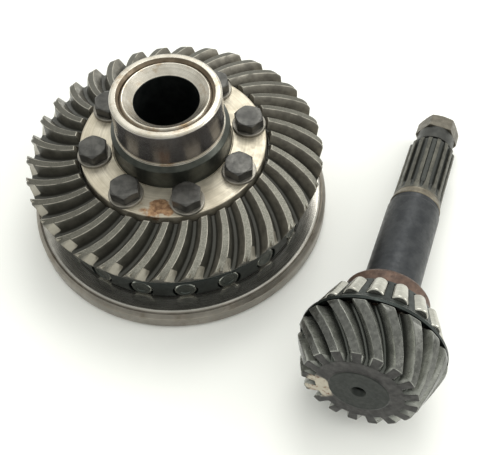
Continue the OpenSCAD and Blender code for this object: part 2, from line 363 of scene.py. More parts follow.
def gear_face(toe, heel, down, depth, teeth, rates, phase, steps, land_edge, facet):
    """The toothed face of a bevel gear from toe to heel as rows, with the marks of its points.
    facet is how far the heel's facet reaches along the tooth, and how far down the flank."""
    toe, heel, down = (np.array(p, float) for p in (toe, heel, down))
    u, g, worn = tooth_profile(land_edge).T
    # lit_flank marks one flank of each tooth, which the material paints lighter: painted light.
    lit_flank = (u > 0) * (g > 0.02) * np.clip((1 - g) * 6, 0, 1)
    # share of the way across a land and down the flank that the heel's facet takes
    land = 2 * (0.5 - land_edge)
    across = np.where(u < 0, np.clip((u + 1 - (1 - land_edge)) / land, 0, 1) * (u < -land_edge), 0)
    across = np.where((u < 0) & (u >= -land_edge), 1.0, across)
    across = np.where(u > land_edge, np.clip((u - land_edge) / land, 0, 1), across)
    fade = np.where((u < 0) & (g > 0.75), np.clip((1 - g) / 0.25, 0, 1), 1.0)
    across = across * fade * (facet[0] > 0)

    rows, angles, marks = [], [], []

    def add(t, level, wear, light):
        t = np.broadcast_to(np.asarray(t, float), u.shape)
        d = along(depth[0], depth[1], t)
        crest = CREST_DROP * np.clip((t - CREST_START) / (1 - CREST_START), 0, 1) ** 2
        height = np.maximum(level, crest)
        spot = toe[None] + (heel - toe)[None] * t[:, None] + down[None] * (d * height)[:, None]
        turn = rates[0] * t + (rates[1] - rates[0]) * t * t / 2
        lines = phase + turn + u * 360 / teeth
        rows.append(spot)
        angles.append(lines)
        light = np.broadcast_to(light, u.shape)
        # Marks: wear; depth, which the material uses to paint the roots darker (painted shade and dirt);
        # the heel facet (painted highlight); and the lit flank (painted light).
        marks.append(np.stack([wear, level * (1 - light), light, lit_flank * (1 - light)], axis=1))

    none = np.zeros_like(u)
    add(0.0, np.maximum(g, 0.07), 0.6 * (g < 0.1), none)
    add(0.012, g, np.maximum(worn, 0.7 * (g < 0.02)), none)
    for t in np.linspace(0.03, 1 - facet[0] - 0.02, steps):
        add(t, g, worn, none)
    reach = 1 - facet[0] * across
    last = 1 - facet[0] - 0.02
    for share in (0.35, 0.6, 0.75, 0.87, 0.95):
        add(last + (np.minimum(reach, 0.985) - 0.004 - last) * share, g, worn * (1 - across), none)
    add(np.minimum(reach, 0.985) - 0.004, g, worn * (1 - across), none)
    add(np.minimum(reach, 0.985), g, 0.3 * across, across > 0.02)
    lowered = g + (1 - g) * facet[1] * across
    add(0.985, lowered, 0.2 * across, across > 0.02)
    add(1.0, np.maximum(lowered, 0.05), 0.3 * (lowered < 0.6), across > 0.3)

    rows, angles, marks = np.array(rows), np.array(angles), np.array(marks)
    shares = 360 / teeth * np.arange(teeth)
    lines = np.radians(angles[:, None, :] + shares[None, :, None]).reshape(len(rows), -1)
    r = np.tile(rows[:, None, :, 0], (1, teeth, 1)).reshape(len(rows), -1)
    z = np.tile(rows[:, None, :, 1], (1, teeth, 1)).reshape(len(rows), -1)
    marks = np.tile(marks[:, None], (1, teeth, 1, 1)).reshape(len(rows), -1, 4)
    surface = np.stack([r * np.cos(lines), r * np.sin(lines), z], axis=2)
    return surface, lines, marks


def gear_part(face_rows, lines, marks, body, closed):
    """The toothed face joined to the rest of the blank, whose outline runs from heel round to toe."""
    share = np.linspace(0, 1, len(body) + 2)[1:-1, None]
    angles = lines[-1][None] * (1 - share) + lines[0][None] * share
    profile = np.asarray(body)
    r, z = profile[:, 0:1], profile[:, 1:2]
    blank = np.stack([r * np.cos(angles), r * np.sin(angles), z + 0 * angles], axis=2)
    rows = np.concatenate([face_rows, blank])
    # The blank outside the teeth is marked nearly as deep as a root, so it takes the roots' painted shade
    # and dirt.
    rest = np.zeros((len(body), lines.shape[1], 4))
    rest[:, :, 1] = 0.9
    marks = np.concatenate([marks, rest])
    return grid_part(rows, closed), marks


def spiral_rate(angle, face, r):
    """Degrees of turn per face width of a tooth at a spiral angle and a radius."""
    return math.degrees(math.tan(math.radians(angle)) * face / r)


def named_marks(marks):
    # deep darkens the roots with painted shade and dirt; facet and flank are painted lighter, as a
    # highlight and a lit side.
    names = ("wear", "deep", "facet", "flank")
    return {name: marks[:, :, i] for i, name in enumerate(names)}


# ---- materials -------------------------------------------------------------

class Steel:
    """A node material built around one Principled shader, all in the part's own coordinates."""

    def __init__(self, name, metallic=1.0, rough=0.35, coat=0.0, coat_rough=0.15):
        self.material = bpy.data.materials.new(name)
        self.material.use_nodes = True
        self.tree = self.material.node_tree
        self.shader = self.tree.nodes["Principled BSDF"]
        self.shader.inputs["Metallic"].default_value = metallic
        self.shader.inputs["Roughness"].default_value = rough
        self.shader.inputs["Coat Weight"].default_value = coat
        self.shader.inputs["Coat Roughness"].default_value = coat_rough
        self.place = self.add("ShaderNodeAttribute", {"attribute_name": "own"}).outputs["Vector"]

    def add(self, kind, props=None, **inputs):
        node = self.tree.nodes.new(kind)
        for key, value in (props or {}).items():
            setattr(node, key, value)
        for key, value in inputs.items():
            self.put(node.inputs[key.replace("_", " ")], value)
        return node

    def put(self, socket, value):
        if isinstance(value, bpy.types.NodeSocket):
            self.tree.links.new(value, socket)
        else:
            socket.default_value = value

    def math(self, operation, a, b=0.0, clamp=False):
        node = self.add("ShaderNodeMath", {"operation": operation, "use_clamp": clamp})
        self.put(node.inputs[0], a)
        self.put(node.inputs[1], b)
        return node.outputs[0]

    def noise(self, size, detail=3.0, stretch=(1, 1, 1), contrast=(0.3, 0.7), vector=None):
        """Noise from 0 to 1 whose spots are about size millimetres across."""
        scaled = self.add("ShaderNodeMapping", None, Vector=vector or self.place, Scale=stretch)
        texture = self.add("ShaderNodeTexNoise", None, Vector=scaled.outputs[0],
                           Scale=1 / (size * MM), Detail=detail, Roughness=0.6)
        return self.ramp(texture.outputs["Fac"], *contrast)

    def ramp(self, value, low, high, out_low=0.0, out_high=1.0):
        node = self.add("ShaderNodeMapRange", {"interpolation_type": "SMOOTHSTEP"}, Value=value)
        node.inputs["From Min"].default_value = low
        node.inputs["From Max"].default_value = high
        node.inputs["To Min"].default_value = out_low
        node.inputs["To Max"].default_value = out_high
        return node.outputs[0]

    def mark(self, name):
        return self.add("ShaderNodeAttribute", {"attribute_name": name}).outputs["Fac"]

    def mix(self, share, a, b, mode="MIX"):
        node = self.add("ShaderNodeMix", {"data_type": "RGBA", "blend_type": mode})
        self.put(node.inputs["Factor"], share)
        self.put(node.inputs["A"], (*a, 1) if isinstance(a, tuple) else a)
        self.put(node.inputs["B"], (*b, 1) if isinstance(b, tuple) else b)
        return node.outputs["Result"]

    def axis_parts(self):
        """Distance from the part's axis, and height along it."""
        parts = self.add("ShaderNodeSeparateXYZ", None, Vector=self.place)
        x, y, z = parts.outputs
        r = self.math("SQRT", self.math("ADD", self.math("MULTIPLY", x, x), self.math("MULTIPLY", y, y)))
        return r, z

    def side(self, towards, low, high):
        """How far a spot lies towards one side of the part: 0 below low, 1 past high, in metres."""
        reach = self.add("ShaderNodeVectorMath", {"operation": "DOT_PRODUCT"})
        self.put(reach.inputs[0], self.place)
        reach.inputs[1].default_value = towards
        return self.ramp(reach.outputs["Value"], low, high)

    def turning(self, size):
        """Noise in fine rings round the axis, as a lathe tool leaves them."""
        r, z = self.axis_parts()
        vector = self.add("ShaderNodeCombineXYZ", None, X=r, Y=z).outputs[0]
        return self.noise(size, 4.0, contrast=(0.35, 0.65), vector=vector)

    def bump(self, height, depth, strength=0.6):
        node = self.add("ShaderNodeBump", None, Height=height, Strength=strength, Distance=depth * MM)
        previous = self.shader.inputs["Normal"].links
        if previous:
            self.tree.links.new(previous[0].from_socket, node.inputs["Normal"])
        self.tree.links.new(node.outputs[0], self.shader.inputs["Normal"])

    def finish(self, colour=None, rough=None):
        if colour is not None:
            value = (*colour, 1) if isinstance(colour, tuple) else colour
            self.put(self.shader.inputs["Base Color"], value)
        if rough is not None:
            self.put(self.shader.inputs["Roughness"], rough)
        return self.material


def gear_steel():
    """Oily cut teeth: roots darkened by painted shade and dirt, dark drive flanks, coast flanks painted
    lighter as lit, lands painted lighter towards the front right, worn edges, and heel facets painted
    bright as a highlight.
    """
    m = Steel("oily_gear_steel", metallic=0.5, coat=0.12, coat_rough=0.25)
    colour = m.mix(m.noise(9), (0.058, 0.056, 0.046), (0.098, 0.094, 0.079))
    # One flank of each tooth is painted lighter: painted light.
    colour = m.mix(m.mark("flank"), colour, m.mix(m.noise(6), (0.12, 0.11, 0.092), (0.20, 0.185, 0.155)))
    # The roots are painted darker: painted shade, with dirt.
    colour = m.mix(m.ramp(m.mark("deep"), 0.6, 1.0), colour, (0.048, 0.047, 0.040))
    land = m.ramp(m.mark("deep"), 0.0, 0.05, 1.0, 0.0)
    speck = m.noise(0.9, 5.0, contrast=(0.35, 0.7))
    # Painted light: the lands are lighter towards the front right of the part, in patches, and this turns
    # with the part.
    front_right_painted_light = m.math("MULTIPLY", m.side((0.55, -0.83, 0), 0.0, 0.09), m.noise(22, 2.0, contrast=(0.1, 0.5)))
    lit = m.mix(front_right_painted_light, m.mix(speck, (0.070, 0.066, 0.053), (0.11, 0.104, 0.085)),
                m.mix(speck, (0.15, 0.145, 0.122), (0.27, 0.26, 0.225)))
    colour = m.mix(land, colour, lit)
    # The heel facets are painted bright: a painted highlight.
    colour = m.mix(m.math("MULTIPLY", m.mark("facet"), 0.9), colour, (0.34, 0.315, 0.26))
    wear = m.math("MULTIPLY", m.mark("wear"), m.noise(6, 2.0, contrast=(0.25, 0.6)))
    colour = m.mix(m.math("MULTIPLY", wear, 0.85), colour, (0.48, 0.45, 0.39))
    m.bump(m.noise(1.2, 5.0), 0.03)
    m.bump(m.noise(5, 2.0), 0.10, 0.3)
    return m.finish(colour, m.ramp(m.noise(4), 0, 1, 0.28, 0.46))


def pinion_steel():
    """The pinion's teeth: darker, with polished flanks."""
    m = Steel("pinion_gear_steel", metallic=0.6, coat=0.25, coat_rough=0.12)
    colour = m.mix(m.noise(8), (0.20, 0.205, 0.185), (0.36, 0.365, 0.335))
    # The roots are painted darker: painted shade, with dirt.
    colour = m.mix(m.ramp(m.mark("deep"), 0.35, 0.95), colour, (0.058, 0.062, 0.055))
    land = m.ramp(m.mark("deep"), 0.0, 0.05, 1.0, 0.0)
    colour = m.mix(land, colour, m.mix(m.noise(2.5, 5.0), (0.060, 0.061, 0.056), (0.115, 0.116, 0.107)))
    wear = m.math("MULTIPLY", m.mark("wear"), m.noise(7, 2.0, contrast=(0.4, 0.7)))
    colour = m.mix(m.math("MULTIPLY", wear, 0.5), colour, (0.38, 0.38, 0.35))
    m.bump(m.noise(1.4, 4.0), 0.02)
    return m.finish(colour, m.ramp(m.noise(5), 0, 1, 0.18, 0.34))


def dark_steel(name, low=(0.028, 0.029, 0.030), high=(0.055, 0.056, 0.056), rough=(0.38, 0.55),
               turned=0.0):
    """Dark oily or blackened steel."""
    m = Steel(name, metallic=0.7, coat=0.1, coat_rough=0.3)
    colour = m.mix(m.noise(7), low, high)
    m.bump(m.noise(1.0, 4.0), 0.03)
    if turned:
        m.bump(m.turning(turned), 0.02, 0.5)
    return m.finish(colour, m.ramp(m.noise(3), 0, 1, *rough))


def bright_steel(name, low, high, rough=(0.25, 0.4), rings=0.5, tint=None, depth=0.02):
    """Turned or ground bright steel, with rings round its axis."""
    m = Steel(name, metallic=0.9)
    colour = m.mix(m.noise(14), low, high)
    lines = m.turning(rings)
    colour = m.mix(m.math("MULTIPLY", lines, 0.35), colour, tuple(0.55 * c for c in low))
    if tint:
        colour = m.mix(m.noise(10, 5.0, contrast=(0.5, 0.75)), colour, tint)
    m.bump(lines, depth, 0.5)
    return m.finish(colour, m.ramp(lines, 0, 1, *rough))


def blotch(m, at, size, wobble=5.0):
    """How much of a stain covers a spot: 1 in its middle, 0 past its size, with a ragged edge."""
    rag = m.add("ShaderNodeTexNoise", None, Vector=m.place, Scale=140.0, Detail=5.0).outputs["Color"]
    centred = m.add("ShaderNodeVectorMath", {"operation": "SUBTRACT"})
    m.put(centred.inputs[0], rag)
    centred.inputs[1].default_value = (0.5, 0.5, 0.5)
    push = m.add("ShaderNodeVectorMath", {"operation": "MULTIPLY_ADD"})
    m.put(push.inputs[0], centred.outputs[0])
    push.inputs[1].default_value = (4 * wobble * MM,) * 3
    m.put(push.inputs[2], m.place)
    away = m.add("ShaderNodeMapping", {"vector_type": "TEXTURE"}, Vector=push.outputs[0])
    away.inputs["Location"].default_value = [c * MM for c in at]
    away.inputs["Scale"].default_value = [c * MM for c in size]
    length = m.add("ShaderNodeVectorMath", {"operation": "LENGTH"})
    m.put(length.inputs[0], away.outputs[0])
    return m.ramp(length.outputs["Value"], 1.0, 0.7)


def flange_steel(stain_at, stain_size):
    """The hub's turned flange: warm, ringed, with a rust-brown stain near its rim and oil in places."""
    m = Steel("turned_flange_steel", metallic=0.7)
    colour = m.mix(m.noise(16, 5.0), (0.48, 0.43, 0.34), (0.62, 0.57, 0.475))
    lines = m.turning(0.7)
    colour = m.mix(m.math("MULTIPLY", lines, 0.55), colour, (0.30, 0.265, 0.21))
    stain = blotch(m, stain_at, stain_size)
    brown = m.mix(m.noise(3), (0.16, 0.065, 0.025), (0.46, 0.27, 0.14))
    colour = m.mix(m.math("MULTIPLY", stain, 0.9), colour, brown)
    oil = m.math("MULTIPLY", m.noise(6, 6.0, contrast=(0.6, 0.8)), 0.6)
    colour = m.mix(oil, colour, (0.30, 0.21, 0.13))
    m.bump(lines, 0.03, 0.6)
    return m.finish(colour, m.ramp(m.noise(5), 0, 1, 0.30, 0.48))


def rusted_steel():
    """The bearing ring's end, with a thin brown rust film."""
    m = Steel("rust_filmed_steel", metallic=0.45)
    colour = m.mix(m.noise(4, 6.0), (0.060, 0.035, 0.026), (0.125, 0.075, 0.055))
    colour = m.mix(m.noise(1.2, 4.0, contrast=(0.55, 0.8)), colour, (0.17, 0.11, 0.085))
    m.bump(m.noise(0.8, 5.0), 0.05)
    return m.finish(colour, m.ramp(m.noise(3), 0, 1, 0.45, 0.65))


def stained_toe():
    """The pinion's toe face: dark and rough."""
    m = Steel("pinion_toe_steel", metallic=0.6)
    colour = m.mix(m.noise(5, 5.0), (0.035, 0.034, 0.034), (0.075, 0.072, 0.070))
    grease = m.mix(m.noise(2.5, 6.0, contrast=(0.5, 0.7)), (0.50, 0.46, 0.38), (0.20, 0.09, 0.045))
    colour = m.mix(blotch(m, (9, 24, 1), (12, 10, 6), 2.5), colour, grease)
    m.bump(m.noise(0.9, 5.0), 0.06)
    return m.finish(colour, m.ramp(m.noise(3), 0, 1, 0.42, 0.6))


def floor_material():
    m = Steel("white_card", metallic=0.0, rough=0.7)
    return m.finish((0.93, 0.93, 0.915))


# ---- crown wheel and hub ---------------------------------------------------

def crown_wheel(material):
    toe, heel = np.array(CROWN_TOE), np.array(CROWN_HEEL)
    face = np.linalg.norm(heel - toe)
    down = np.array([heel[1] - toe[1], toe[0] - heel[0]]) / face
    toe_depth = CROWN_DEPTH * toe[0] / heel[0]
    rates = (-spiral_rate(CROWN_SPIRAL[0], face, toe[0]), -spiral_rate(CROWN_SPIRAL[1], face, heel[0]))
    rows, lines, marks = gear_face(toe, heel, down, (toe_depth, CROWN_DEPTH), CROWN_TEETH, rates,
                                   CROWN_PHASE, 22, CROWN_SPACE, CROWN_FACET)
    toe_root = toe + down * (toe_depth + 1)
    heel_root = heel + down * (CROWN_DEPTH + 0.4)
    recess_r = FLANGE_R + 0.8
    blank = rounded([
        (*heel_root, 0.5), (*(heel_root + np.array([-1.2, -1.0])), 0.3),
        (*(heel_root + np.array([-1.2, -2.4])), 0.3),
        (91, BACK_Z + 2), (88, BACK_Z), (BOSS_R, BACK_Z), (BOSS_R, BOSS_Z), (SPIGOT_R, BOSS_Z),
        (SPIGOT_R, WEB_Z),
        (recess_r, WEB_Z), (recess_r, toe_root[1] - 1.5), (*toe_root, 0.5)], 0.6)
    part, marks = gear_part(rows, lines, marks, blank, closed=True)
    return make("crown_wheel_teeth", part, "crown", [material], ["crown_wheel"],
                marks=named_marks(marks), sharp=50)


def crown_hub(flange, dark, bright, bore):
    """Turned hub. Its materials: flange and underside, dark neck, bright lip and journal, dark bore."""
    outline = [
        (BORE_R + 1, 4), (31, 4), (32, 5), (32, 26), (SPIGOT_R - 1, 26), (SPIGOT_R, 27),
        (SPIGOT_R, WEB_Z), (FLANGE_R, WEB_Z), (FLANGE_R, FLANGE_Z, 1.0), (HUB_R + 1.2, FLANGE_Z, 0.4),
        (HUB_R + 0.6, FLANGE_Z - 0.7, 0.3), (HUB_R, FLANGE_Z + 0.3, 0.3), (HUB_R, RING_Z - 4.5, 0.5),
        (LIP_R, RING_Z - 1.3, 0.3), (LIP_R, RING_Z, 0.3), (RING_BORE_R, RING_Z),
        (RING_BORE_R, JOURNAL_Z - 2.2, 0.2), (RING_BORE_R - 1.8, JOURNAL_Z, 0.3),
        (BORE_R + 6.5, JOURNAL_Z, 0.4), (BORE_R, JOURNAL_Z - 5.2, 0.5), (BORE_R, 30, 0.3), (BORE_R, 5)]

    def paint(r, z):
        # The bore takes the darkest steel: painted shade inside it.
        if r < BORE_R + 0.3 and z < JOURNAL_Z - 5:
            return 3
        if z > RING_Z - 1.6:
            return 2
        if r < HUB_R + 0.4 and z > FLANGE_Z - 0.5:
            return 1
        return 0

    return make("hub_body", lathe(outline, 0.6, 192), "crown",
                [flange, dark, bright, bore], ["crown_hub"], paint=paint)


def hub_ring(face, raceway, groove):
    outline = [
        (RING_BORE_R, RING_Z + 1.2), (RING_BORE_R + 1.2, RING_Z), (RING_R - 0.8, RING_Z),
        (RING_R, RING_Z + 0.8),
        (RING_R, RING_TOP - 1.2), (RING_R - 1.2, RING_TOP),
        (RING_BORE_R + 1.7, RING_TOP, 0.3), (RING_BORE_R, RING_TOP - 2.2, 0.3)]

    def paint(r, z):
        if r > RING_R - 0.15:
            return 1
        return 2 if r < RING_BORE_R + 1.6 else 0

    return make("hub_inner_ring", lathe(outline, 0.8, 192, 4), "crown",
                [face, raceway, groove], ["hub_bearing_inner_ring"], paint=paint)


def hexagon_rows(across_flats, height, points=96):
    """A hexagon head: its top corners are broken by a cone, which leaves arcs on the flats."""
    angles = full_turn(points)
    sector = np.mod(angles + math.pi / 6, math.pi / 3) - math.pi / 6
    corner_soft = across_flats / 2 / math.cos(math.pi / 6) * 0.988
    outline = np.minimum(across_flats / 2 / np.cos(sector), corner_soft)
    top_r = across_flats / 2 * 0.95
    drop = 0.14 * across_flats
    heights = [0.0, 0.25, height - drop] + [height - drop * (1 - k / 10) for k in range(1, 10)]
    rows = []
    for z in heights:
        cone = top_r + (height - z) / math.tan(math.radians(30))
        r = np.minimum(outline, cone)
        if z == 0.0:
            r = r - 0.25
        rows.append(np.stack([r * np.cos(angles), r * np.sin(angles), z + 0 * angles], axis=2)[0])
    for r, z in ((top_r, height), (top_r - 0.4, height + 0.02), (top_r * 0.5, height), (0.0, height)):
        rows.append(revolve([(r, z)], angles)[0])
    first = revolve([(0.0, 0.0)], angles)[0]
    return np.array([first] + rows)


def flange_bolts(material):
    """Hexagon heads on their plain shanks, all in one piece."""
    head = grid_part(hexagon_rows(BOLT_AF, HEAD_H), closed=False)
    shank = lathe([(0, -27.8), (5.2, -27.8), (6, -27), (6, 0.5), (0, 0.5)], 0.3, 48)
    parts = []
    for i in range(BOLTS):
        place = turn_z(BOLT_TURN + i * 360 / BOLTS) @ shift(BOLT_CIRCLE_R, 0, FLANGE_Z + BOLT_WASHER_T)
        parts.append(moved(head, place @ turn_z(BOLT_STEP_TURN * i)))
        parts.append(moved(shank, place))
    return make("flange_bolt_heads", joined(parts), "crown", [material],
                ["flange_bolts"], sharp=24)


def flange_washers(material):
    bore_r = 6.4
    outline = [
        (bore_r, 0), (BOLT_WASHER_R, 0), (BOLT_WASHER_R, BOLT_WASHER_T, 0.7), (bore_r, BOLT_WASHER_T)]
    ring = lathe(outline, 0.3, 96)
    parts = []
    for i in range(BOLTS):
        place = turn_z(BOLT_TURN + i * 360 / BOLTS) @ shift(BOLT_CIRCLE_R, 0, FLANGE_Z)
        parts.append(moved(ring, place))
    return make("flange_bolt_washers", joined(parts), "crown", [material],
                ["flange_washers"])


# ---- thrust bearing --------------------------------------------------------

def housing_washer(face, rim):
    bore_r = 68.0
    outline = [
        (bore_r, 1), (bore_r + 1, 0), (WASHER_R - 2, 0, 0.8), (WASHER_R, 2, 0.8),
        (WASHER_R, WASHER_T - 3.6, 1.0),
        (WASHER_R - 2.6, WASHER_T - 0.6, 0.3), (WASHER_R - 3.2, WASHER_T - 1.5, 0.2),
        (WASHER_R - 4, WASHER_T - 0.6, 0.2), (WASHER_R - 5.2, WASHER_T, 0.3), (bore_r + 1, WASHER_T),
        (bore_r, WASHER_T - 1)]

    def paint(r, z):
        return 0 if r < WASHER_R - 4.4 and z > WASHER_T - 1.2 else 1

    return make("thrust_ring", lathe(outline, 0.4, 256), "base", [face, rim],
                ["thrust_housing_washer"], paint=paint)


def shaft_washer(material):
    slope = math.tan(math.radians(2 * ROLLER_CONE))
    low = WASHER_T + 2 * CLEAR
    outline = [
        (BOSS_R, low + BOSS_R * slope), (SHAFT_WASHER_R, low + SHAFT_WASHER_R * slope),
        (SHAFT_WASHER_R, BACK_Z - 1), (SHAFT_WASHER_R - 1, BACK_Z), (BOSS_R, BACK_Z)]
    return make("thrust_upper_ring", lathe(outline, 0.3, 192), "crown", [material],
                ["thrust_shaft_washer"])


def thrust_rollers(material, bright):
    """Tapered rollers whose shared apex is on the axis, each with a shallow dish in its outer end."""
    slope = math.tan(math.radians(ROLLER_CONE))
    end = ROLLER_TIP_X / math.cos(math.radians(ROLLER_CONE))
    start = end - ROLLER_LEN
    outline = [
        (0, start), (start * slope - 0.8, start), ((start + 0.8) * slope, start + 0.8),
        ((end - 1.6) * slope, end - 1.6, 0.8), (end * slope - 1.6, end, 0.8), (4.2, end, 0.3),
        (3.6, end - 0.3, 0.3),
        (0, end - 0.3)]
    part = lathe(outline, 0.5, 64, 4)

    # The outer end's rounded rim takes the bright corner steel: a painted highlight all round it.
    def paint(r, z):
        return 1 if z > end - 1.8 and r > 6.5 else 0

    for i in range(THRUST_ROLLERS):
        place = turn_z(THRUST_TURN + i * 360 / THRUST_ROLLERS) @ shift(0, 0, WASHER_T + CLEAR)
        make(f"thrust_bearing_roller_{i + 1}", part, "thrust_roller_set",
             [material, bright], [f"thrust_roller_{i + 1}"], place=place @ turn_y(90 - ROLLER_CONE),
             paint=paint)


# ---- pinion ----------------------------------------------------------------

def pinion_gear(teeth, disc, toe_face, shaft):
    toe, heel = np.array(PINION_TOE), np.array(PINION_HEEL)
    face = np.linalg.norm(heel - toe)
    down = np.array([toe[1] - heel[1], heel[0] - toe[0]]) / face
    toe_depth = PINION_DEPTH * 0.8
    rates = (-spiral_rate(PINION_SPIRAL[0], face, toe[0] - 4),
             -spiral_rate(PINION_SPIRAL[1], face, heel[0] - 4))
    rows, lines, marks = gear_face(toe, heel, down, (toe_depth, PINION_DEPTH), PINION_TEETH, rates,
                                   PINION_PHASE, 24, PINION_SPACE, NO_FACET)
    heel_root = heel + down * (PINION_DEPTH + 0.4)
    front = rounded([
        (26.6, 1.1, 0.3), (PINION_FACE_R + 1.0, 0.9, 0.3), (PINION_FACE_R, 0, 0.5), (4.6, 0, 0.3),
        (2.6, 3, 0.2),
        (2.6, 8, 0.2), (0, 8.5)], 0.3)
    back = rounded([
        (0, SHAFT_END_S), (SHAFT_R, SHAFT_END_S, 0.6), (SHAFT_R, CONE_S + CONE_W + 2.6, 0.4),
        (SEAT_R, CONE_S + CONE_W + 0.6, 0.4), (SEAT_R, CONE_S, 0.3), (SEAT_R + 6, CONE_S, 0.3),
        (SEAT_R + 6, CONE_S - 0.4, 0.3), (*heel_root, 0.4)], 0.4)[::-1]
    toe_side = revolve(front, lines[0][None])
    heel_side = revolve(back, lines[-1][None])
    rows = np.concatenate([toe_side[::-1], rows, heel_side])
    # The plain faces are marked nearly as deep as a root, so they take the roots' painted shade and dirt.
    plain = np.zeros((1, lines.shape[1], 4))
    plain[:, :, 1] = 0.9
    plain_front = np.repeat(plain, len(front), 0)
    plain_back = np.repeat(plain, len(back), 0)
    marks = np.concatenate([plain_front, marks, plain_back])

    def paint(r, z):
        if z > CONE_S - 0.5 and r < SEAT_R + 0.2:
            return 3
        if z < 1.05 and r < PINION_FACE_R + 0.4:
            return 1
        if r < 8 and z < 10:
            return 1
        if z < 1.75:
            return 2
        return 0

    return make("pinion_gear", grid_part(rows, closed=False), "pinion_shaft",
                [teeth, disc, toe_face, shaft], ["pinion"], place=PINION, paint=paint,
                marks=named_marks(marks), sharp=50)


def spline_tail(shaft, band, grooved):
    """The splined end: a smooth seat, a relief groove, and splines whose grooves run out to points."""
    plain_from = SPLINE_START_S - 4
    half_share = SPLINE_HALF_GROOVE / (2 * math.pi * SPLINE_R / SPLINES)
    u = np.array([-0.5, -0.42, -1.12 * half_share, -half_share, -0.86 * half_share,
                  -0.4 * half_share, 0, 0.4 * half_share, 0.86 * half_share, half_share,
                  1.12 * half_share, 0.42])
    cut = np.array([0, 0, 0.02, 0.16, 1, 1, 1, 1, 1, 0.16, 0.02, 0])
    lead = rounded([
        (0, SHAFT_END_S), (SHAFT_R - 1, SHAFT_END_S, 0.2), (SHAFT_R - 1.2, SHAFT_END_S + 0.8, 0.3),
        (SHAFT_R - 1, SHAFT_END_S + 4, 0.3), (SHAFT_R - 0.4, SHAFT_END_S + 4.8, 0.4),
        (SPLINE_R + 0.2, plain_from, 0.6), (SPLINE_R, plain_from + 0.4, 0.3)], 0.4)
    tail = rounded([
        (THREAD_R, SPLINE_END_S, 0.2), (THREAD_R, COLLAR_S + COLLAR_W + NUT_W - 1.5, 0.6),
        (0, COLLAR_S + COLLAR_W + NUT_W - 1.5)], 0.3)
    base = 2 * math.pi / SPLINES
    rows, deep = [], []

    def ring(r, s, level):
        angles = (base * (np.arange(SPLINES)[:, None] + u[None, :])).ravel()
        radius = np.broadcast_to(r, (SPLINES, len(u))).ravel()
        height = np.full_like(angles, s)
        rows.append(np.stack([radius * np.cos(angles), radius * np.sin(angles), height], axis=1))
        deep.append(np.broadcast_to(level, (SPLINES, len(u))).ravel())

    for r, s in lead:
        ring(r, s, 0.0)
    run_out = np.linspace(SPLINE_START_S - 3, SPLINE_START_S + 7, 10)
    full_depth = np.linspace(SPLINE_START_S + 9, SPLINE_END_S - 1.6, 8)
    for s in np.concatenate([run_out, full_depth]):
        sunk = np.clip((s - SPLINE_START_S + 3) / 10, 0, 1) * SPLINE_DEPTH
        narrow = math.sqrt(max(sunk, 1e-4) / SPLINE_DEPTH)
        width = half_share * narrow
        pointed = np.clip((width * 1.12 - abs(u)) / (width * 0.3 + 1e-6), 0, 1)
        shaped = pointed if narrow < 0.99 else cut
        ring(SPLINE_R - sunk * shaped, s, shaped * min(1.0, 3 * sunk / SPLINE_DEPTH))
    end_cut = SPLINE_DEPTH * cut
    ring(SPLINE_R - np.maximum(end_cut, 1.2), SPLINE_END_S - 0.3, cut)
    ring(SPLINE_R - np.maximum(end_cut, 1.5), SPLINE_END_S, cut)
    for r, s in tail:
        ring(r, s, 1.0)

    def paint(r, z):
        if z < SHAFT_END_S + 4.2:
            return 0
        if z < SPLINE_START_S - 3.2:
            return 1
        return 2

    return make("pinion_splines", grid_part(np.array(rows), closed=False), "pinion_shaft",
                [shaft, band, grooved], place=PINION, paint=paint,
                marks={"deep": np.array(deep)}, sharp=40)


def spline_steel():
    """Splines: light brown-grey lands, dark grooves."""
    m = Steel("spline_steel", metallic=0.8, coat=0.1)
    colour = m.mix(m.noise(5), (0.060, 0.058, 0.049), (0.115, 0.110, 0.093))
    # The grooves are painted darker: painted shade in them.
    colour = m.mix(m.ramp(m.mark("deep"), 0.05, 0.8), colour, (0.045, 0.047, 0.044))
    m.bump(m.noise(1.0, 4.0), 0.03)
    return m.finish(colour, m.ramp(m.noise(3), 0, 1, 0.3, 0.5))


def roller_line(s):
    """Radius of the rollers' inner line at the height s along the pinion."""
    narrow = math.degrees(math.atan((PIN_ROLLER_BIG - PIN_ROLLER_SMALL) / (PIN_ROLLER_LEN - 1.4)))
    start = PIN_ROLLER_BIG / math.cos(math.radians(narrow))
    lean = math.radians(PIN_ROLLER_TILT - narrow)
    return PIN_ROLLER_PATH - start / math.cos(lean) - (s - PIN_ROLLER_S) * math.tan(lean) - CLEAR


def bearing_cone(rust, ground):
    big = CONE_S + 3.4
    small = PIN_ROLLER_S + PIN_ROLLER_LEN * math.cos(math.radians(PIN_ROLLER_TILT)) + 1.4
    top = CONE_S + CONE_W
    outline = [
        (SEAT_R, CONE_S), (roller_line(big) + 2.2, CONE_S), (roller_line(big) + 2.6, CONE_S + 1),
        (roller_line(big) + 2.2, big - 0.6), (roller_line(big), big, 0.2),
        (roller_line(small), small, 0.2),
        (27.6, small + 1.4, 0.4), (27.3, top - 3.4, 0.8), (24.6, top, 1.0), (SEAT_R, top)]

    def paint(r, z):
        return 1 if big - 0.2 < z < small + 0.2 else 0

    return make("bearing_cone_ring", lathe(outline, 0.4, 128), "pinion_shaft",
                [rust, ground], ["pinion_bearing_cone"], place=PINION, paint=paint)


